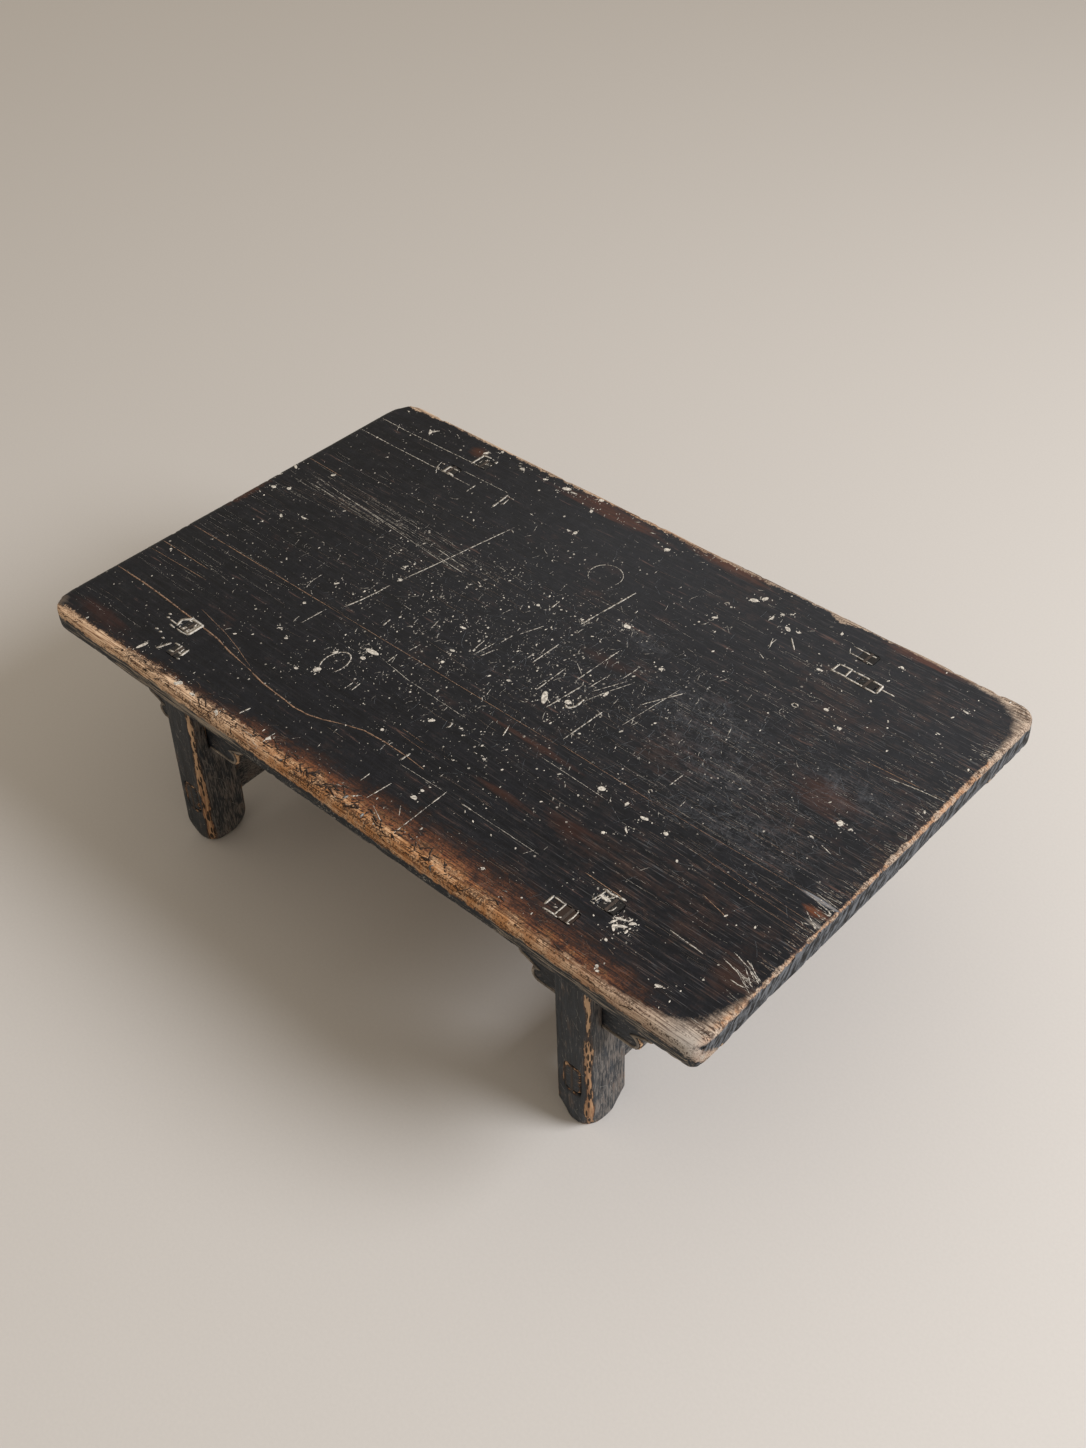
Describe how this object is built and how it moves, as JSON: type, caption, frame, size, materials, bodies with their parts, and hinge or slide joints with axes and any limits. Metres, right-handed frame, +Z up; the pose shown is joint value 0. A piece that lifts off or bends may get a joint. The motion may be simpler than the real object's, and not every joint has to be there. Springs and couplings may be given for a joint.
{
  "type": "kang table",
  "caption": "Low kang table: worn black-lacquered plank top on splayed legs with bridle joints, long aprons, shaped spandrels and end stretchers.",
  "frame": {"origin": "on the floor under the middle of the tabletop", "axes": "+X along the tabletop towards the right end, +Y from the worn front edge to the back edge, +Z up"},
  "size_m": [0.96, 0.58, 0.3],
  "materials": {
    "top_lacquer": "worn black lacquer over softwood, scratched, with bare edges",
    "frame_lacquer": "worn blue-black lacquer over softwood, bare on the arrises",
    "bare_wood": "old unfinished softwood",
    "bamboo": "split bamboo"
  },
  "bodies": {
    "root": {"top_plank_front": "top_lacquer", "top_plank_middle": "top_lacquer", "top_plank_back": "top_lacquer", "plank_pins": "bamboo", "left_batten": "bare_wood", "right_batten": "bare_wood", "leg_front_left": "frame_lacquer", "leg_front_right": "frame_lacquer", "leg_back_left": "frame_lacquer", "leg_back_right": "frame_lacquer", "front_apron": "frame_lacquer", "back_apron": "frame_lacquer", "spandrel_front_left": "frame_lacquer", "spandrel_front_right": "frame_lacquer", "spandrel_back_left": "frame_lacquer", "spandrel_back_right": "frame_lacquer", "left_stretcher": "frame_lacquer", "right_stretcher": "frame_lacquer", "tenon_wedges": "bare_wood", "stretcher_wedges": "bare_wood"}
  },
  "joints": []
}
